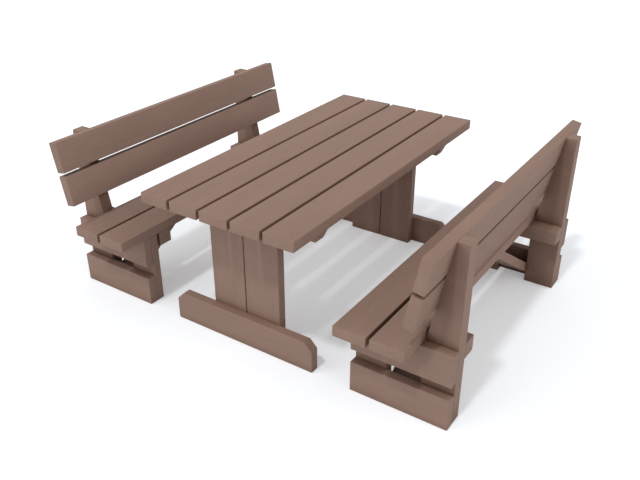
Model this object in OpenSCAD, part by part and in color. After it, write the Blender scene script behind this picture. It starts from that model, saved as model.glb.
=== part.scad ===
// Children's garden set: a plank table and two benches with reclined backs.
// Millimetres, Z up. X runs along the table, the benches stand at +Y and -Y.
// The origin is on the ground, under the middle of the table.

/* [Boards and beams] */
// Width of the flat boards
board_w = 120; // [90:1:160]
// Thickness of the boards of the top, the seats and the backs
board_t = 39; // [24:1:50]
// Thickness of the flat boards of the frames
frame_t = 36; // [24:1:50]
// Gap between neighbouring boards
board_gap = 12.5; // [4:0.5:25]
// Width of the beams under the table top
beam_w = 50; // [40:1:70]
// Width of the beams under the seats
seat_beam_w = 60; // [40:1:80]
// Height of the beams
beam_h = 60; // [45:1:90]
// Radius on the edges of all boards and beams
edge_r = 3; // [1:0.5:6]

/* [Table] */
// Length of the table top and of the benches
set_l = 1320; // [1000:10:1800]
// Height of the table top above the ground
table_h = 580; // [460:5:760]
// Distance from the end of the top to the end frames
overhang = 110; // [60:5:250]
// Width of each upright board of the end frames
pedestal_w = 150; // [100:1:200]
// Seam between the two upright boards
pedestal_seam = 3; // [1:0.5:10]
// Length of the table's foot boards
foot_l = 628; // [450:2:760]
// Cut on the upper corners of the table's foot boards
foot_cut = 32; // [5:1:60]
// Distance from the side edges of the top to the ends of its bearers
bearer_inset = 15; // [0:1:80]
// Slant of the bearers' ends, from their upper to their lower side
bearer_slant = 29; // [0:1:60]

/* [Benches] */
// Height of the seat above the ground
seat_h = 330; // [250:1:450]
// Distance from the table edge to the front of the seat
bench_gap = 141.5; // [100:0.5:400]
// Overhang of the seat in front of the legs
seat_lip = 2.5; // [0:0.5:20]
// Distance that the posts stand in under the rear edge of the seat
post_set = 6; // [0:1:20]
// Thickness of the back posts
post_t = 50; // [36:1:70]
// Recline of the backrest in degrees
recline = 11; // [4:0.5:18]
// Rise from the seat bearers to the lower back board
back_rise = 123; // [80:1:180]
// Play between the seat and the back posts
post_play = 0.3; // [0.2:0.1:3]
// Width of the braces under the seat
brace_w = 104; // [80:1:120]
// Rise of the braces in degrees
brace_angle = 33; // [25:1:45]
// Height of the braces' lower edge at the foot boards
brace_low = 11; // [0:1:40]

/* [Fixings] */
// Distance between the two fixings of a pair across a board
pair_w = 60; // [30:1:90]
// Distance between the two screws in the top of an upright board
upright_pair_w = 70; // [40:1:100]
// Distance between the two pins at the end of a brace
brace_pair_w = 50; // [30:1:70]
// Least distance from a screw to the end of its bearer
screw_edge = 16; // [10:1:40]
// Shank of the screws
screw_d = 6; // [4:0.5:8]
// Head of the screws
screw_head_d = 12; // [8:0.5:16]
// Height of the screw heads
screw_head_h = 4; // [2:0.5:6]
// Size of the hexagon socket in the heads
screw_key = 5; // [3:0.5:6]
// Depth of the hexagon socket
screw_key_depth = 2; // [1:0.5:4]
// Depth that the screw heads are sunk
screw_sink = 10; // [6:1:20]
// Depth of thread in the second piece
screw_bite = 25; // [15:1:30]
// Play around a screw
screw_play = 0.2; // [0.1:0.05:0.5]
// Diameter of the blind pins
pin_d = 12; // [8:1:16]
// Depth of a pin in each piece
pin_bite = 24; // [15:1:28]
// Chamfer on the pins' ends
pin_chamfer = 1; // [0.5:0.5:2]
// Play around a pin
pin_play = 0.1; // [0.05:0.05:0.4]

/* [Hidden] */
$fn = 64;
board_color = [0.42, 0.33, 0.29];
steel_color = [0.62, 0.63, 0.65];
top_boards = 5;
overcut = 1;

// Table heights and planes
half_l = set_l / 2;
top_w = top_boards * board_w + (top_boards - 1) * board_gap;
top_under = table_h - board_t;
frame_out = half_l - overhang;
frame_mid = frame_out - frame_t;
frame_in = frame_mid - frame_t;
bearer_in = frame_in - beam_w;
bearer_top_l = top_w - 2 * bearer_inset;
bearer_low_l = bearer_top_l - 2 * bearer_slant;
pedestal_y = (pedestal_w + pedestal_seam) / 2;

// Bench planes, y measured from the front face of the front legs
bench_y = top_w / 2 + bench_gap + seat_lip;
seat_under = seat_h - board_t;
seat_back = 2 * board_w + board_gap - seat_lip;
post_front = seat_back - post_set;
bench_d = post_front + board_w;
post_lean = seat_back + post_play;
post_kink = seat_under - (post_lean - post_front) / tan(recline);
back_l = back_rise + 2 * board_w + board_gap;
post_top = seat_under + back_l * cos(recline);
post_top_y = post_lean + back_l * sin(recline);
post_in = frame_mid - post_t;
seat_beam_in = post_in - seat_beam_w;

// Brace planes: height of its end at the foot board, and reach of its lower and upper face along the seat
brace_v = frame_t / cos(brace_angle);
brace_reach = (seat_under - brace_low) / tan(brace_angle);
brace_reach_up = (seat_under - brace_low - brace_v) / tan(brace_angle);
brace_foot_z = brace_low + (brace_v + pin_bite * tan(brace_angle)) / 2;
brace_seat_x = frame_mid - (brace_reach + brace_reach_up - pin_bite / tan(brace_angle)) / 2;

// Places of a pair of fixings across a board, and the planes of the bench frames' joints
pair = [board_w / 2 - pair_w / 2, board_w / 2 + pair_w / 2];
low_bearer_mid = seat_under - beam_h - (board_w - beam_h) / 2;

// Rounded rectangle from the origin, built from squares and circles
module soft_rect(a, b, r = edge_r) {
    translate([r, 0]) square([a - 2 * r, b]);
    translate([0, r]) square([a, b - 2 * r]);
    for (x = [r, a - r], y = [r, b - r]) translate([x, y]) circle(r);
}

// Straight board from the origin along X, Y and Z, with every edge rounded
module soft_block(size) {
    intersection() {
        linear_extrude(size.z) soft_rect(size.x, size.y);
        translate([0, size.y, 0]) rotate([90, 0, 0]) linear_extrude(size.y) soft_rect(size.x, size.z);
        rotate([90, 0, 90]) linear_extrude(size.x) soft_rect(size.y, size.z);
    }
}

// Screw with its head resting on z = 0 and its shank going down, grip is the first piece's part
module screw(grip) {
    shank_l = grip + screw_bite;
    tip_h = screw_d / 2;
    color(steel_color) {
        difference() {
            cylinder(d = screw_head_d, h = screw_head_h);
            translate([0, 0, screw_head_h - screw_key_depth])
                cylinder(d = screw_key / cos(30), h = screw_key_depth + overcut, $fn = 6);
        }
        translate([0, 0, -shank_l + tip_h]) cylinder(d = screw_d, h = shank_l - tip_h);
        translate([0, 0, -shank_l]) cylinder(d1 = screw_d / 3, d2 = screw_d, h = tip_h);
    }
}

// Hole for a screw: sunk head, then the shank through the first piece and into the second
module screw_hole(grip) {
    cylinder(d = screw_head_d + 2 * screw_play, h = screw_sink + overcut);
    translate([0, 0, -grip - screw_bite - screw_play])
        cylinder(d = screw_d + 2 * screw_play, h = grip + screw_bite + screw_play + overcut);
}

// Pin across a joint at z = 0, seated on the bottoms of its two blind holes
module pin() {
    color(steel_color) {
        translate([0, 0, pin_chamfer - pin_bite]) cylinder(d = pin_d, h = 2 * (pin_bite - pin_chamfer));
        for (m = [0, 1]) mirror([0, 0, m]) translate([0, 0, pin_bite - pin_chamfer])
            cylinder(d1 = pin_d, d2 = pin_d - 2 * pin_chamfer, h = pin_chamfer);
    }
}

module pin_hole() {
    translate([0, 0, -pin_bite]) cylinder(d = pin_d + 2 * pin_play, h = 2 * pin_bite);
}

// Screws driven up from z, screws driven outward along X from x, and pins across a joint at x
module drive_up(x, y, z) {
    translate([x, y, z + screw_sink]) rotate([180, 0, 0]) children();
}

module drive_out(x, y, z) {
    translate([x + screw_sink, y, z]) rotate([0, -90, 0]) children();
}

module across_x(x, y, z) {
    translate([x, y, z]) rotate([0, 90, 0]) children();
}

// Table: the +X end frame is drawn and the -X one is its mirror image
module both_ends() {
    children();
    mirror([1, 0, 0]) children();
}

function plank_y(i) = (i - (top_boards + 1) / 2) * (board_w + board_gap) - board_w / 2;

// Screws through the top bearers, kept clear of the bearers' slanted ends
function within(y, reach) = max(-reach, min(reach, y));

module table_top_screw_places() {
    for (i = [1 : top_boards], p = pair)
        drive_up(
            bearer_in + beam_w / 2,
            within(plank_y(i) + p, bearer_low_l / 2 - screw_edge),
            top_under - beam_h
        ) children();
}

module table_bearer_screw_places() {
    for (y = [-1, 1], s = [-1, 1])
        drive_out(bearer_in, y * pedestal_y + s * upright_pair_w / 2, top_under - beam_h / 2) children();
}

module table_pin_places() {
    for (y = [-1, 1], z = pair)
        across_x(frame_mid, y * pedestal_y, z) children();
}

module table_plank(i) {
    color(board_color) difference() {
        translate([-half_l, plank_y(i), top_under]) soft_block([set_l, board_w, board_t]);
        both_ends() table_top_screw_places() screw_hole(beam_h - screw_sink);
    }
}

// Beam whose ends are cut on a steep slant
module table_bearer() {
    slant = (bearer_top_l - bearer_low_l) / 2;
    lean = overcut * slant / beam_h;
    far = bearer_top_l;
    color(board_color) difference() {
        translate([bearer_in, -bearer_top_l / 2, top_under - beam_h])
            soft_block([beam_w, bearer_top_l, beam_h]);
        for (m = [0, 1]) mirror([0, m, 0])
            translate([bearer_in - overcut, 0, top_under - beam_h])
                rotate([90, 0, 90]) linear_extrude(beam_w + 2 * overcut) polygon([
                    [bearer_low_l / 2 - lean, -overcut],
                    [bearer_top_l / 2 + lean, beam_h + overcut],
                    [far, beam_h + overcut],
                    [far, -overcut]
                ]);
        table_top_screw_places() screw_hole(beam_h - screw_sink);
        table_bearer_screw_places() screw_hole(beam_w - screw_sink);
    }
}

module table_upright(side) {
    color(board_color) difference() {
        translate([frame_in, side * pedestal_y - pedestal_w / 2, 0])
            soft_block([frame_t, pedestal_w, top_under]);
        table_bearer_screw_places() screw_hole(beam_w - screw_sink);
        table_pin_places() pin_hole();
    }
}

module table_foot() {
    color(board_color) difference() {
        translate([frame_mid, -foot_l / 2, 0]) soft_block([frame_t, foot_l, board_w]);
        for (m = [0, 1]) mirror([0, m, 0])
            translate([frame_mid - overcut, foot_l / 2, board_w])
                rotate([90, 0, 90]) linear_extrude(frame_t + 2 * overcut) polygon([
                    [-foot_cut - overcut, overcut], [overcut, overcut], [overcut, -foot_cut - overcut]
                ]);
        table_pin_places() pin_hole();
    }
}

// Bench: y = 0 is the front face of the front legs and +Y goes to the back
function seat_board_y(i) = i * (board_w + board_gap) - seat_lip;

module bench_seat_screw_places() {
    for (i = [0, 1], p = pair)
        drive_up(seat_beam_in + seat_beam_w / 2, seat_board_y(i) + p, seat_under - beam_h) children();
}

module bench_leg_pin_places() {
    for (z = [board_w / 2, seat_under - board_w / 2], p = pair)
        across_x(frame_mid, p, z) children();
}

module bench_post_pin_places() {
    for (z = [board_w / 2, low_bearer_mid], p = pair)
        across_x(frame_mid, post_front + p, z) children();
}

module bench_bearer_pin_places() {
    for (p = pair)
        across_x(post_in, post_front + p, seat_under - beam_h / 2) children();
}

// Origin on the rear face of the backrest at seat height, Z up along it, +Y into the posts
module on_backrest() {
    translate([0, post_lean, seat_under]) rotate([-recline, 0, 0]) children();
}

function back_board_z(i) = back_rise + i * (board_w + board_gap);

module bench_back_pin_places() {
    for (i = [0, 1], p = pair)
        on_backrest() translate([post_in + post_t / 2, 0, back_board_z(i) + p])
            rotate([-90, 0, 0]) children();
}

// A brace stands close to the post (side = 1) or close to the leg (side = 0)
function brace_y(side) = side == 1 ? post_front - brace_w : board_w;

module bench_brace_pin_places(side) {
    for (s = [-1, 1]) {
        across_x(frame_mid, brace_y(side) + (brace_w + s * brace_pair_w) / 2, brace_foot_z) children();
        translate([brace_seat_x, brace_y(side) + (brace_w + s * brace_pair_w) / 2, seat_under])
            children();
    }
}

// The -X end has its brace at the post and the +X end has it at the leg
module bench_brace_pins() {
    mirror([1, 0, 0]) bench_brace_pin_places(1) children();
    bench_brace_pin_places(0) children();
}

module bench_seat(i) {
    color(board_color) difference() {
        translate([-half_l, seat_board_y(i), seat_under]) soft_block([set_l, board_w, board_t]);
        both_ends() bench_seat_screw_places() screw_hole(beam_h - screw_sink);
        bench_brace_pins() pin_hole();
    }
}

module bench_back(i) {
    color(board_color) difference() {
        on_backrest() translate([-half_l, -board_t, back_board_z(i)]) soft_block([set_l, board_t, board_w]);
        both_ends() bench_back_pin_places() pin_hole();
    }
}

module bench_leg() {
    color(board_color) difference() {
        translate([frame_in, 0, 0]) soft_block([frame_t, board_w, seat_under]);
        bench_leg_pin_places() pin_hole();
    }
}

// Side view of a post: plain below, tapered above so that its front edge carries the backrest
module post_outline() {
    polygon([
        [post_front, 0], [bench_d, 0], [bench_d, post_top], [post_top_y, post_top], [post_front, post_kink]
    ]);
}

module bench_post() {
    color(board_color) difference() {
        intersection() {
            translate([post_in, post_front, 0]) soft_block([post_t, board_w, post_top]);
            translate([post_in, 0, 0]) rotate([90, 0, 90]) linear_extrude(post_t) post_outline();
        }
        bench_post_pin_places() pin_hole();
        bench_bearer_pin_places() pin_hole();
        bench_back_pin_places() pin_hole();
    }
}

module bench_outer_bearer() {
    color(board_color) difference() {
        translate([frame_mid, 0, seat_under - board_w]) soft_block([frame_t, bench_d, board_w]);
        bench_leg_pin_places() pin_hole();
        bench_post_pin_places() pin_hole();
    }
}

module bench_seat_bearer() {
    color(board_color) difference() {
        translate([seat_beam_in, 0, seat_under - beam_h]) soft_block([seat_beam_w, bench_d, beam_h]);
        bench_seat_screw_places() screw_hole(beam_h - screw_sink);
        bench_bearer_pin_places() pin_hole();
    }
}

module bench_foot(side) {
    color(board_color) difference() {
        translate([frame_mid, 0, 0]) soft_block([frame_t, bench_d, board_w]);
        bench_leg_pin_places() pin_hole();
        bench_post_pin_places() pin_hole();
        bench_brace_pin_places(side) pin_hole();
    }
}

// Brace from the foot board up to the seat, cut flush with both
module bench_brace(side) {
    lead = 2 * frame_t;
    color(board_color) difference() {
        intersection() {
            translate([frame_mid, brace_y(side), brace_low]) rotate([0, brace_angle - 180, 0])
                translate([-lead, 0, -frame_t])
                    soft_block([2 * lead + brace_reach / cos(brace_angle), brace_w, frame_t]);
            translate([0, brace_y(side) - overcut, 0])
                cube([frame_mid, brace_w + 2 * overcut, seat_under]);
        }
        bench_brace_pin_places(side) pin_hole();
    }
}

module bench_seat_screws() {
    both_ends() bench_seat_screw_places() screw(beam_h - screw_sink);
}

module bench_pins() {
    both_ends() {
        bench_leg_pin_places() pin();
        bench_post_pin_places() pin();
        bench_bearer_pin_places() pin();
        bench_back_pin_places() pin();
    }
    bench_brace_pins() pin();
}

// The two ends and the two benches
module end_a() {
    mirror([1, 0, 0]) children();
}

module end_b() {
    children();
}

module left() {
    translate([0, bench_y, 0]) children();
}

// The right bench is the same product turned round, so its +X end is the left bench's -X end
module right() {
    rotate([0, 0, 180]) left() children();
}

module table_plank_1() { table_plank(1); }
module table_plank_2() { table_plank(2); }
module table_plank_3() { table_plank(3); }
module table_plank_4() { table_plank(4); }
module table_plank_5() { table_plank(5); }
module table_bearer_a() { end_a() table_bearer(); }
module table_bearer_b() { end_b() table_bearer(); }
module table_upright_a_left() { end_a() table_upright(1); }
module table_upright_a_right() { end_a() table_upright(-1); }
module table_upright_b_left() { end_b() table_upright(1); }
module table_upright_b_right() { end_b() table_upright(-1); }
module table_foot_a() { end_a() table_foot(); }
module table_foot_b() { end_b() table_foot(); }

module table_top_screws() {
    both_ends() table_top_screw_places() screw(beam_h - screw_sink);
}

module table_bearer_screws() {
    both_ends() table_bearer_screw_places() screw(beam_w - screw_sink);
}

module table_pins() {
    both_ends() table_pin_places() pin();
}

table_plank_1();
table_plank_2();
table_plank_3();
table_plank_4();
table_plank_5();
table_bearer_a();
table_bearer_b();
table_upright_a_left();
table_upright_a_right();
table_upright_b_left();
table_upright_b_right();
table_foot_a();
table_foot_b();
table_top_screws();
table_bearer_screws();
table_pins();
left() bench_seat(0);  // left_seat_front
left() bench_seat(1);  // left_seat_rear
left() bench_back(0);  // left_back_lower
left() bench_back(1);  // left_back_upper
left() end_a() bench_leg();  // left_leg_a
left() end_b() bench_leg();  // left_leg_b
left() end_a() bench_post();  // left_post_a
left() end_b() bench_post();  // left_post_b
left() end_a() bench_outer_bearer();  // left_outer_bearer_a
left() end_b() bench_outer_bearer();  // left_outer_bearer_b
left() end_a() bench_seat_bearer();  // left_seat_bearer_a
left() end_b() bench_seat_bearer();  // left_seat_bearer_b
left() end_a() bench_foot(1);  // left_foot_a
left() end_b() bench_foot(0);  // left_foot_b
left() end_a() bench_brace(1);  // left_brace_a
left() end_b() bench_brace(0);  // left_brace_b
left() bench_seat_screws();  // left_seat_screws
left() bench_pins();  // left_pins
right() bench_seat(0);  // right_seat_front
right() bench_seat(1);  // right_seat_rear
right() bench_back(0);  // right_back_lower
right() bench_back(1);  // right_back_upper
right() end_b() bench_leg();  // right_leg_a
right() end_a() bench_leg();  // right_leg_b
right() end_b() bench_post();  // right_post_a
right() end_a() bench_post();  // right_post_b
right() end_b() bench_outer_bearer();  // right_outer_bearer_a
right() end_a() bench_outer_bearer();  // right_outer_bearer_b
right() end_b() bench_seat_bearer();  // right_seat_bearer_a
right() end_a() bench_seat_bearer();  // right_seat_bearer_b
right() end_b() bench_foot(0);  // right_foot_a
right() end_a() bench_foot(1);  // right_foot_b
right() end_b() bench_brace(0);  // right_brace_a
right() end_a() bench_brace(1);  // right_brace_b
right() bench_seat_screws();  // right_seat_screws
right() bench_pins();  // right_pins
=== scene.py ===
# %% [markdown]
# # A children's garden set: table and two benches
#
# The set is built from through-coloured boards of recycled plastic. The boards are the
# planks, seats and backs that one sees first, and a frame of shorter boards stands under
# them at both ends. The sizes come from the CAD model, which this script loads as a fixed
# frame. Blender adds what the CAD model leaves out: the soft irregular shape and the finish
# of the boards, the steel of the fixings, the light and the floor.
#
# Everything is in metres. X runs along the table, the left bench is on the +Y side, and
# Z = 0 is the ground.

# %% Load the CAD model
import math

import bpy
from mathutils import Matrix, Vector


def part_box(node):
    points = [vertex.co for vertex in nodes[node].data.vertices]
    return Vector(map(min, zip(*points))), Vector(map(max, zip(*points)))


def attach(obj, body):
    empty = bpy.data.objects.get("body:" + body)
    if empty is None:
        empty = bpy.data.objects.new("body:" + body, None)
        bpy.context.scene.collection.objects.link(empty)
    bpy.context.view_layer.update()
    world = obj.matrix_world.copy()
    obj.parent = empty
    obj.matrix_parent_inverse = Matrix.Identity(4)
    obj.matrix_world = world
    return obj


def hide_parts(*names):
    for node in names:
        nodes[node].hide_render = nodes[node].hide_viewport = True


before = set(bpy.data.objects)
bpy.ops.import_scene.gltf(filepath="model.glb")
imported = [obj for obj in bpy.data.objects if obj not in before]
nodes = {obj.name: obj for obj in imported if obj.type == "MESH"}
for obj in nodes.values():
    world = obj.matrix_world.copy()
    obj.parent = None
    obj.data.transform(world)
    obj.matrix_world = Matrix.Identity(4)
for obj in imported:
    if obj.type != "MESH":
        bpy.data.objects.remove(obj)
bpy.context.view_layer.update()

# %% [markdown]
# ## The camera
#
# The viewpoint was worked out from the edges of the boards in the photograph: lines that
# are parallel on the object meet in one point of the picture, and two such points give the
# direction and the focal length. A camera with a wrong lens can never match all edges at
# once, so it is settled before anything else.

# %% Set up the camera
CAMERA_PLACE = Vector((-2.2405, -1.4796, 1.6635))
CAMERA_AIM = Vector((0.72852, 0.48731, -0.48144))
LENS = 41.53
SENSOR_WIDTH = 36.0


def put(name, data):
    """Puts a new object with this data into the scene."""
    made = bpy.data.objects.new(name, data)
    bpy.context.scene.collection.objects.link(made)
    return made


def aim(thing, direction):
    """Turns a camera or a lamp so that it looks in a direction."""
    thing.rotation_mode = "QUATERNION"
    thing.rotation_quaternion = direction.to_track_quat("-Z", "Y")


camera_data = bpy.data.cameras.new("camera")
camera_data.lens = LENS
camera_data.sensor_width = SENSOR_WIDTH
camera = put("camera", camera_data)
camera.location = CAMERA_PLACE
aim(camera, CAMERA_AIM)
bpy.context.scene.camera = camera
bpy.context.scene.view_settings.view_transform = "Standard"
print(f"camera {CAMERA_PLACE.z:.2f} m above the ground, lens {LENS} mm")

# %% [markdown]
# ## A short way to write nodes
#
# Shader and geometry trees are graphs of nodes. Written out, each sum takes four lines of
# Python. The class `Wire` wraps one output socket and overloads the arithmetic operators,
# so `1 - mask * 0.5` adds the Math nodes by itself. The class `Tree` adds any other node:
# its type, its settings, and what goes into its sockets. The nodes that come up often have a
# method of their own.

# %% Helpers for node trees
class Wire:
    """One output socket. Sums and products of wires become Math nodes."""

    def __init__(self, tree, socket):
        self.tree = tree
        self.socket = socket

    def _math(self, operation, first, second):
        return self.tree.add("ShaderNodeMath", {"operation": operation}, {0: first, 1: second})

    def __add__(self, other):
        return self._math("ADD", self, other)

    def __sub__(self, other):
        return self._math("SUBTRACT", self, other)

    def __rsub__(self, other):
        return self._math("SUBTRACT", other, self)

    def __mul__(self, other):
        return self._math("MULTIPLY", self, other)

    __radd__ = __add__


def feed(node, sockets):
    """Gives a node's sockets their values or their links."""
    for key, value in sockets.items():
        if isinstance(value, Wire):
            value.tree.node_tree.links.new(value.socket, node.inputs[key])
        else:
            node.inputs[key].default_value = value


class Tree:
    """Adds nodes to a shader or geometry tree and links them."""

    def __init__(self, node_tree):
        self.node_tree = node_tree

    def node(self, kind, settings=None, sockets=None):
        made = self.node_tree.nodes.new(kind)
        for name, value in (settings or {}).items():
            setattr(made, name, value)
        feed(made, sockets or {})
        return made

    def add(self, kind, settings=None, sockets=None, out=0):
        return Wire(self, self.node(kind, settings, sockets).outputs[out])

    def ramp(self, value, low, high):
        """0 below `low`, 1 above `high`, and a smooth rise between them."""
        return self.add(
            "ShaderNodeMapRange",
            {"interpolation_type": "SMOOTHSTEP"},
            {"Value": value, "From Min": low, "From Max": high},
        )

    def scaled(self, vector, factor):
        """A vector times a number."""
        return self.add(
            "ShaderNodeVectorMath", {"operation": "SCALE"}, {"Vector": vector, "Scale": factor}
        )

    def blend(self, factor, first, second):
        """Mixes two colours by a factor. They have sockets 6 and 7, and the result has 2."""
        return self.add(
            "ShaderNodeMix", {"data_type": "RGBA"}, {0: factor, 6: first, 7: second}, out=2
        )

    def noise(self, place, scale, detail):
        """A noise between 0 and 1 with `scale` swells per metre and `detail` finer layers."""
        return self.add(
            "ShaderNodeTexNoise", {}, {"Vector": place, "Scale": scale, "Detail": detail}
        )

    def bumps(self, height, strength, distance):
        """A normal that follows a relief."""
        return self.add(
            "ShaderNodeBump", {}, {"Height": height, "Strength": strength, "Distance": distance}
        )


print("helpers: Wire, feed, Tree")

# %% [markdown]
# ## The light
#
# The photograph was taken in a bright, even light with a weak sun: the shadows on the floor
# are soft and all fall towards the far end. A plain white world gives half of the light. A
# narrow sun lamp gives the shadows. Two wide sun lamps stand for soft boxes at the right and
# at the left of the camera, and keep the upright faces nearly as bright as the level ones.
#
# The strengths were fitted: the set was rendered with each lamp alone, and the sum of those
# pictures that came closest to the photograph gave the four numbers, which were then adjusted
# a little. A level surface in the open gets about 1, so a colour renders as it is written.
# Camera, glossy and transmission rays see pure white, which is the background of the
# photograph.

# %% Light the scene
WHITE = (1.0, 1.0, 1.0, 1.0)
DAYLIGHT = 0.50
SUN_LAMPS = (
    # name, strength, apparent size in degrees, direction of travel
    ("sun", 0.86, 4.5, Vector((0.54, -0.03, -1.0))),
    ("soft_box_right", 0.65, 55, Vector((0.0, 0.87, -0.5))),
    ("soft_box_left", 0.75, 55, Vector((0.61, -0.61, -0.5))),
)

world = bpy.data.worlds.new("daylight")
world.use_nodes = True
world.node_tree.nodes.clear()
sky = Tree(world.node_tree)
path = sky.node("ShaderNodeLightPath")
seen = Wire(sky, path.outputs["Is Camera Ray"])
for kind in ("Is Glossy Ray", "Is Transmission Ray"):
    seen = seen + Wire(sky, path.outputs[kind])
seen = sky.add("ShaderNodeMath", {"operation": "MINIMUM"}, {0: seen, 1: 1.0})
strength = DAYLIGHT + seen * (1 - DAYLIGHT)
sky_light = sky.add("ShaderNodeBackground", {}, {"Color": WHITE, "Strength": strength})
sky.node("ShaderNodeOutputWorld", {}, {"Surface": sky_light})
bpy.context.scene.world = world

level = DAYLIGHT
for name, energy, size, travel in SUN_LAMPS:
    lamp_data = bpy.data.lights.new(name, "SUN")
    lamp_data.energy = energy
    lamp_data.angle = math.radians(size)
    aim(put(name, lamp_data), travel)
    level += energy / math.pi * -travel.normalized().z
print(f"a level surface in the open gets {level:.2f}")

# %% [markdown]
# ## The floor
#
# The set stands on a seamless pale studio floor. A large disc is enough. Its colour is just
# under white. In the photograph the lit floor melts into the white background and even the
# shadows are light. A darker floor would give the undersides of the boards the wrong light,
# so the floor keeps its colour and only camera rays see it with a little white added.

# %% Lay the floor
FLOOR_RADIUS = 14.0
FLOOR_CORNERS = 64
FLOOR_COLOR = (0.90, 0.94, 0.985, 1.0)
FLOOR_LIFT = 0.26
FLOOR_ROUGHNESS = 0.9

floor_mesh = bpy.data.meshes.new("floor")
turns = [math.tau * i / FLOOR_CORNERS for i in range(FLOOR_CORNERS)]
rim = [(FLOOR_RADIUS * math.cos(turn), FLOOR_RADIUS * math.sin(turn), 0.0) for turn in turns]
floor_mesh.from_pydata(rim, [], [list(range(FLOOR_CORNERS))])
floor = put("floor", floor_mesh)
floor_finish = bpy.data.materials.new("pale_floor")
floor_finish.use_nodes = True
seen_by_camera = Tree(floor_finish.node_tree).add("ShaderNodeLightPath", out="Is Camera Ray")
feed(
    floor_finish.node_tree.nodes["Principled BSDF"],
    {
        "Base Color": FLOOR_COLOR,
        "Roughness": FLOOR_ROUGHNESS,
        "Specular IOR Level": 0.0,
        "Emission Color": seen_by_camera,
        "Emission Strength": FLOOR_LIFT,
    },
)
floor_mesh.materials.append(floor_finish)
print(f"floor laid, {2 * FLOOR_RADIUS:.0f} m across")

# %% [markdown]
# ## The finish of the boards
#
# The boards are moulded from shredded household plastic. The colour goes all the way
# through. Seen close up the surface is matt, with clouds, long streaks and fine fibres of a
# slightly different brown where the plastic flowed along the mould, light and dark flecks of
# the shreds, and small pores where a board was sawn to length. The arrises are rubbed a
# little lighter by hands and shoes. The narrow gaps and inner corners get a painted shade:
# their colour is darkened towards a warm dark brown where shade falls.
#
# Streaks and fibres follow the length of each board. Noise that is drawn out along one axis
# makes them, so there is one material for each direction in which a board can lie. A picture
# of real boards would do as well from one side, but noise in object space has no seams and
# runs on over the sawn ends. From a few steps away only the clouds show, which is right: the
# detail is as small as on the real thing.
#
# The Bevel node finds the arrises: there the rounded normal differs from the real one. The
# Ambient Occlusion node finds the gaps and the inner corners, where few of its short rays
# get away, and there it paints shade into the colour. The posts have a material of their own
# with longer rays and a full share of this painted shade, so that their colour darkens over a
# hand's breadth towards the boards that they carry.

# %% Make the board finishes
BOARD_BROWN = (0.284, 0.183, 0.143)
# The dark warm brown of the painted shade in gaps and inner corners
PAINTED_SHADE_BROWN = (0.130, 0.062, 0.038)
CONTRAST = 0.16
SHINE = 0.18
GRAIN_SCALES = {"x": (0.04, 1.0, 1.0), "y": (1.0, 0.04, 1.0), "z": (1.0, 1.0, 0.04)}
# The clouds are drawn out less than the streaks: their scales are these powers of the above
CLOUD_STRETCH = 0.4
# Swells per metre of each noise, and how many finer layers it has
CLOUDS = (11.0, 3.0)
STREAKS = (70.0, 4.0)
FIBRES = (430.0, 3.0)
GRIT = (620.0, 2.0)
CRUMBS = (340.0, 1.0)
PORES_PER_METRE = 260.0
# The shares of the patterns in the tone, in the relief and in the roughness
TONE_SHARES = {"clouds": 0.9, "streaks": 0.4, "fibres": 0.9, "grit": 0.8}
FLECK_TONE = 0.8
RELIEF_SHARES = {"grit": 0.7, "fibres": 0.9, "streaks": 0.6, "pores": -1.2}
PLAIN_ROUGHNESS = 0.5
ROUGHNESS_SHARES = {"clouds": 0.16, "fibres": 0.12, "grit": 0.08, "worn": -0.1}
# Strength of the relief and its depth in metres
RELIEF = (0.5, 0.0009)
# Radius of a worn arris, in metres
ARRIS_RADIUS = 0.004
# Between which values each mask rises from 0 to 1
LIGHT_FLECKS = (0.66, 0.74)
DARK_FLECKS = (0.26, 0.34)
SAWN_ENDS = (0.80, 0.95)
PORE_WALLS = (0.12, 0.30)
WORN_ARRISES = (0.02, 0.25)
# The painted shade fades out between these values of the open space around a point
OPEN_SPACE = (0.2, 0.9)
# How far the painted shade reaches out of a corner, in metres, and how much of it there is
CORNER_PAINTED_SHADE = (0.06, 0.65)
# The posts get a painted shade that reaches further and is at full strength
POST_PAINTED_SHADE = (0.16, 1.0)
# How strongly the worn and the porous places show, and how much lighter or darker they are
WORN_TONE = (0.3, 1.3)
PORE_TONE = (0.45, 0.35)


def shade(color, factor):
    """The colour made lighter or darker, as a socket value."""
    return tuple(channel * factor for channel in color) + (1.0,)


def weighted(start, patterns, shares):
    """A start value plus a share of each pattern."""
    total = start
    for name, share in shares.items():
        total = total + patterns[name] * share
    return total


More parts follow.
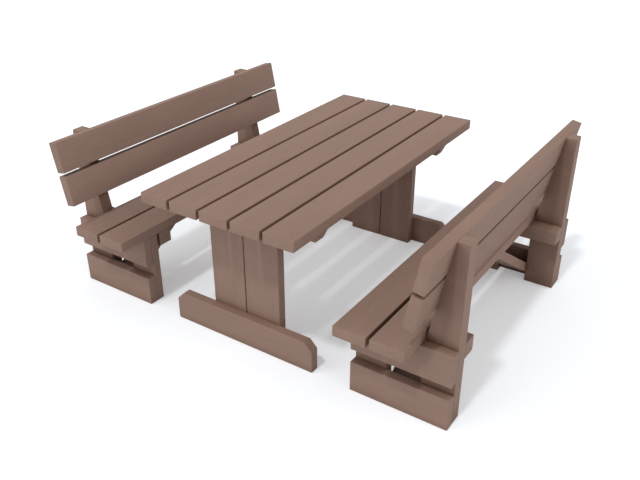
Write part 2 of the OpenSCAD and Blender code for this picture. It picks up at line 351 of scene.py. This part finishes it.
def board_finish(name, grain, corners):
    """The finish of boards whose length runs along one axis."""
    finish = bpy.data.materials.new(name)
    finish.use_nodes = True
    tree = Tree(finish.node_tree)
    place = tree.add("ShaderNodeTexCoord", out="Object")
    scales = Vector(GRAIN_SCALES[grain])
    long_place = tree.add("ShaderNodeMapping", {}, {"Vector": place, "Scale": scales})
    scales = Vector([scale ** CLOUD_STRETCH for scale in scales])
    clouds_place = tree.add("ShaderNodeMapping", {}, {"Vector": place, "Scale": scales})
    noises = {
        "clouds": tree.noise(clouds_place, *CLOUDS),
        "streaks": tree.noise(long_place, *STREAKS),
        "fibres": tree.noise(long_place, *FIBRES),
        "grit": tree.noise(place, *GRIT),
    }
    crumbs = tree.noise(place, *CRUMBS)
    light_flecks = tree.ramp(crumbs, *LIGHT_FLECKS)
    dark_flecks = 1 - tree.ramp(crumbs, *DARK_FLECKS)

    # Pores show only on the sawn ends, which face along the board
    normal = tree.add("ShaderNodeTexCoord", out="Normal")
    along = tree.add("ShaderNodeSeparateXYZ", {}, {0: normal}, out="xyz".index(grain))
    facing = tree.add("ShaderNodeMath", {"operation": "ABSOLUTE"}, {0: along})
    sawn = tree.ramp(facing, *SAWN_ENDS)
    cells = tree.add("ShaderNodeTexVoronoi", {}, {"Vector": place, "Scale": PORES_PER_METRE})
    pores = (1 - tree.ramp(cells, *PORE_WALLS)) * sawn

    # Arrises: the rounded normal has turned away from the plain one
    soft = tree.add("ShaderNodeBevel", {"samples": 4}, {"Radius": ARRIS_RADIUS})
    plain = tree.add("ShaderNodeNewGeometry", out="Normal")
    same = tree.add(
        "ShaderNodeVectorMath", {"operation": "DOT_PRODUCT"}, {0: soft, 1: plain}, out="Value"
    )
    worn = tree.ramp(1 - same, *WORN_ARRISES)

    # Painted shade in narrow gaps and inner corners, where few rays get free of them
    reach, depth = corners
    free = tree.add("ShaderNodeAmbientOcclusion", {"samples": 6}, {"Distance": reach}, out="AO")
    painted_shade = (1 - tree.ramp(free, *OPEN_SPACE)) * (1 - worn)

    # Each pattern shifts the tone, and each board of a row has a tone of its own
    tone = tree.add("ShaderNodeAttribute", {"attribute_name": "tone"}, {}, out="Fac")
    swings = {key: noise - 0.5 for key, noise in noises.items()}
    mixed = weighted(0.5, swings, TONE_SHARES) + tone
    mixed = mixed + (light_flecks - dark_flecks) * FLECK_TONE
    brown = tree.blend(mixed, shade(BOARD_BROWN, 1 - CONTRAST), shade(BOARD_BROWN, 1 + CONTRAST))
    brown = tree.blend(worn * WORN_TONE[0], brown, shade(BOARD_BROWN, WORN_TONE[1]))
    # Painted shade: the colour of gaps and inner corners is darkened towards the dark brown
    brown = tree.blend(painted_shade * depth, brown, shade(PAINTED_SHADE_BROWN, 1.0))
    brown = tree.blend(pores * PORE_TONE[0], brown, shade(BOARD_BROWN, PORE_TONE[1]))

    # The same patterns give the relief and the roughness
    patterns = {**noises, "pores": pores, "worn": worn}
    height = weighted(0.0, patterns, RELIEF_SHARES)
    feed(
        finish.node_tree.nodes["Principled BSDF"],
        {
            "Base Color": brown,
            "Roughness": weighted(PLAIN_ROUGHNESS, patterns, ROUGHNESS_SHARES),
            "Normal": tree.bumps(height, *RELIEF),
            "Specular IOR Level": SHINE,
        },
    )
    return finish


board = {grain: board_finish("board_along_" + grain, grain, CORNER_PAINTED_SHADE) for grain in "xyz"}
# The posts get a copy of the finish with a wider and darker painted shade towards the boards
board["post"] = board_finish("board_of_posts_deep_painted_shade", "z", POST_PAINTED_SHADE)
print("board finishes:", ", ".join(sorted(m.name for m in board.values())))

# %% [markdown]
# ## The steel of the fixings
#
# Screws and pins are zinc-plated steel. They sit out of sight under the bearers and inside
# the joints, so a brushed grey with a faint stain is all they need.

# %% Make the steel finish
STEEL_GREY = (0.52, 0.53, 0.55)
DARKEST, LIGHTEST = 0.75, 1.2
# Noises and relief, as for the boards
STAINS = (180.0, 3.0)
BRUSH_MARKS = (1400.0, 1.0)
BRUSH_RELIEF = (0.2, 0.0002)
BRIGHT_ROUGHNESS, STAIN_ROUGHNESS = 0.25, 0.25

steel = bpy.data.materials.new("zinc_plated_steel")
steel.use_nodes = True
tree = Tree(steel.node_tree)
place = tree.add("ShaderNodeTexCoord", out="Object")
stain = tree.noise(place, *STAINS)
brushed = tree.noise(place, *BRUSH_MARKS)
feed(
    steel.node_tree.nodes["Principled BSDF"],
    {
        "Base Color": tree.blend(stain, shade(STEEL_GREY, DARKEST), shade(STEEL_GREY, LIGHTEST)),
        "Roughness": BRIGHT_ROUGHNESS + stain * STAIN_ROUGHNESS,
        "Normal": tree.bumps(brushed, *BRUSH_RELIEF),
        "Metallic": 1.0,
    },
)
print("steel finish made")

# %% [markdown]
# ## Rows of boards
#
# The table top, the seats and the backs are all the same thing: a row of long boards with
# an even gap. One Geometry Nodes tree makes them all, with the number, the size, the step
# and the tilt as inputs. Drawing one board and copying it by hand would work as well, but
# a tree keeps the rule in one place.
#
# The board itself starts as a box whose vertices are counted, not measured: the outer two
# rows on each side become a quarter round, and the rest are spread along the board. The
# boards are not perfectly true: their thickness and width breathe by a few tenths of a
# millimetre along the length, as moulded boards do.

# %% Build the tree for a row of boards
LENGTH_VERTICES = 46
SIDE_VERTICES = 6
ROUND_ROWS = 2
EDGE_RADIUS = 0.0022
BREATHING = 0.008
TONE_SPREAD = 0.1
# How fast the breathing changes along a board, in waves per metre, and how far apart in the
# noise two boards lie for each step of tone
BREATHING_WAVES = 3.0
BREATHING_SPREAD = 90.0

row_tree = bpy.data.node_groups.new("row_of_boards", "GeometryNodeTree")
row_tree.is_modifier = True
for name, kind, usual in (
    ("Count", "Int", 5),
    ("First centre", "Vector", (0.0, 0.0, 0.0)),
    ("Step", "Vector", (0.0, 0.1325, 0.0)),
    ("Size", "Vector", (1.32, 0.12, 0.039)),
    ("Tilt", "Float", 0.0),
    ("Edge radius", "Float", EDGE_RADIUS),
    ("Breathing", "Float", BREATHING),
    ("Tone spread", "Float", TONE_SPREAD),
    ("Seed", "Int", 1),
    ("Finish", "Material", None),
):
    made = row_tree.interface.new_socket(
        name=name, in_out="INPUT", socket_type="NodeSocket" + kind
    )
    if usual is not None:
        made.default_value = usual
row_tree.interface.new_socket(name="Geometry", in_out="OUTPUT", socket_type="NodeSocketGeometry")

rows = Tree(row_tree)
given = rows.node("NodeGroupInput")


def row_input(name):
    """An input of the tree, as a wire."""
    return Wire(rows, given.outputs[name])


def vector(operation, *values):
    """One step of vector arithmetic."""
    return rows.add("ShaderNodeVectorMath", {"operation": operation}, dict(enumerate(values)))


# The box, with positions from -1 to 1. Beyond `edge` its vertices turn round the arris.
cube = rows.add(
    "GeometryNodeMeshCube",
    {},
    {
        "Size": (2, 2, 2),
        "Vertices X": LENGTH_VERTICES,
        "Vertices Y": SIDE_VERTICES,
        "Vertices Z": SIDE_VERTICES,
    },
)
raw = rows.add("GeometryNodeInputPosition")
length_edge = 1 - 2 * ROUND_ROWS / (LENGTH_VERTICES - 1)
side_edge = 1 - 2 * ROUND_ROWS / (SIDE_VERTICES - 1)
edge = (length_edge, side_edge, side_edge)
rest = (1 - length_edge, 1 - side_edge, 1 - side_edge)
away = vector("ABSOLUTE", raw)
sign = vector("DIVIDE", raw, away)
inner = vector("MINIMUM", vector("DIVIDE", away, edge), (1, 1, 1))
turn = vector("MAXIMUM", vector("DIVIDE", vector("SUBTRACT", away, edge), rest), (0, 0, 0))
radius = row_input("Edge radius")
half = rows.scaled(row_input("Size"), 0.5)
corner = rows.add("ShaderNodeCombineXYZ", {}, {0: radius, 1: radius, 2: radius})
core = vector("MULTIPLY", vector("MULTIPLY", sign, inner), vector("SUBTRACT", half, corner))
out_by = vector("MULTIPLY", vector("NORMALIZE", vector("MULTIPLY", sign, turn)), corner)
shaped = rows.add(
    "GeometryNodeSetPosition", {}, {"Geometry": cube, "Position": vector("ADD", core, out_by)}
)

# One board for each point of a line, with its own tone
line = rows.add(
    "GeometryNodeMeshLine",
    {"mode": "OFFSET"},
    {
        "Count": row_input("Count"),
        "Start Location": row_input("First centre"),
        "Offset": row_input("Step"),
    },
)
tilt = rows.add("ShaderNodeCombineXYZ", {}, {0: row_input("Tilt")})
placed = rows.add(
    "GeometryNodeInstanceOnPoints", {}, {"Points": line, "Instance": shaped, "Rotation": tilt}
)
pick = rows.node("FunctionNodeRandomValue", {"data_type": "FLOAT"})
# The node has hidden Min and Max sockets for other kinds of number, so these are looked up
for limit, value in (("Min", row_input("Tone spread") * -1), ("Max", row_input("Tone spread"))):
    socket = next(s for s in pick.inputs if s.name == limit and s.type == "VALUE" and s.enabled)
    rows.node_tree.links.new(value.socket, socket)
feed(pick, {"Seed": row_input("Seed")})
tone = Wire(rows, next(s for s in pick.outputs if s.type == "VALUE" and s.enabled))
toned = rows.add(
    "GeometryNodeStoreNamedAttribute",
    {"data_type": "FLOAT", "domain": "INSTANCE"},
    {"Geometry": placed, "Name": "tone", "Value": tone},
)
real = rows.add("GeometryNodeRealizeInstances", {}, {"Geometry": toned})

# Breathing: a slow noise along X draws the section in towards the board's middle line
here = rows.add("GeometryNodeInputPosition")
along = rows.add("ShaderNodeSeparateXYZ", {}, {0: here})
at_board = rows.add("GeometryNodeInputNamedAttribute", {"data_type": "FLOAT"}, {"Name": "tone"})
sample = rows.add(
    "ShaderNodeCombineXYZ", {}, {0: along * BREATHING_WAVES, 1: at_board * BREATHING_SPREAD}
)
slow = rows.noise(sample, 1.0, 1.0)
island = rows.add("GeometryNodeInputMeshIsland")
total = rows.add(
    "GeometryNodeAccumulateField",
    {"data_type": "FLOAT_VECTOR", "domain": "POINT"},
    {0: here, "Group ID": island},
    out="Total",
)
points = rows.add(
    "GeometryNodeAccumulateField",
    {"data_type": "FLOAT", "domain": "POINT"},
    {0: 1.0, "Group ID": island},
    out="Total",
)
one_point = rows.add("ShaderNodeMath", {"operation": "DIVIDE"}, {0: 1.0, 1: points})
from_middle = vector("SUBTRACT", here, rows.scaled(total, one_point))
across = vector("MULTIPLY", from_middle, (0, 1, 1))
draw_in = rows.scaled(across, slow * row_input("Breathing") * -1)
breathing = rows.add("GeometryNodeSetPosition", {}, {"Geometry": real, "Offset": draw_in})
finished = rows.add(
    "GeometryNodeSetMaterial", {}, {"Geometry": breathing, "Material": row_input("Finish")}
)
rows.node("NodeGroupOutput", {}, {"Geometry": finished})
print(f"row tree: {len(row_tree.nodes)} nodes")

# %% [markdown]
# ## Lay the rows
#
# Each row takes its place from the CAD boards that it stands for. `lay_row` reads their
# boxes, feeds the tree, turns the result into a plain mesh and hangs it on its body.

# %% Lay the top, the seats and the backs
RECLINE = math.radians(11)
SHARP_ANGLE = math.radians(30)
top_low, top_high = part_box("table_plank_1")
BOARD_SIZE = tuple(top_high - top_low)


def middle_of(node):
    """The middle of a CAD node's box."""
    low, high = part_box(node)
    return (low + high) / 2


def lay_row(name, body, members, seed, tilt=0.0):
    """Makes one row of boards in the place of its CAD boards."""
    centres = [middle_of(member) for member in members]
    piece = put(name, bpy.data.meshes.new(name))
    row = piece.modifiers.new("row", "NODES")
    row.node_group = row_tree
    values = {
        "Count": len(members),
        "First centre": tuple(centres[0]),
        "Step": tuple(centres[1] - centres[0]),
        "Size": BOARD_SIZE,
        "Tilt": tilt,
        "Edge radius": EDGE_RADIUS,
        "Breathing": BREATHING,
        "Tone spread": TONE_SPREAD,
        "Seed": seed,
        "Finish": board["x"],
    }
    for socket in row_tree.interface.items_tree:
        if socket.in_out == "INPUT":
            row[socket.identifier] = values[socket.name]
    bpy.context.view_layer.update()
    evaluated = piece.evaluated_get(bpy.context.evaluated_depsgraph_get())
    mesh = bpy.data.meshes.new_from_object(evaluated)
    piece.modifiers.clear()
    piece.data = mesh
    mesh.name = name
    mesh.shade_smooth()
    mesh.set_sharp_from_angle(angle=SHARP_ANGLE)
    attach(piece, body)
    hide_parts(*members)
    print(f"{name}: {len(members)} boards, {len(mesh.polygons)} faces")


lay_row("table_top_boards", "table", [f"table_plank_{i}" for i in range(1, 6)], seed=3)
for number, side in enumerate(("left", "right")):
    body = side + "_bench"
    lean = RECLINE if side == "right" else -RECLINE
    seats = [side + "_seat_front", side + "_seat_rear"]
    backs = [side + "_back_lower", side + "_back_upper"]
    lay_row(side + "_seat_boards", body, seats, seed=11 + number)
    lay_row(side + "_back_boards", body, backs, seed=21 + number, tilt=math.pi / 2 + lean)

# %% [markdown]
# ## The frames and the fixings
#
# The frame boards are right as the CAD model has them, so they stay, and only get their
# finish. The name of a node tells how its board lies: uprights, legs and posts stand, braces
# run along the set, feet and bearers lie across.

# %% Give the frame boards their finish
for name, node in nodes.items():
    if node.hide_render:
        continue
    if "screws" in name or "pins" in name:
        finish = steel
    elif "post" in name:
        finish = board["post"]
    elif "upright" in name or "leg" in name:
        finish = board["z"]
    elif "brace" in name:
        finish = board["x"]
    else:
        finish = board["y"]
    for slot in node.material_slots:
        slot.material = finish
print("frame boards finished")
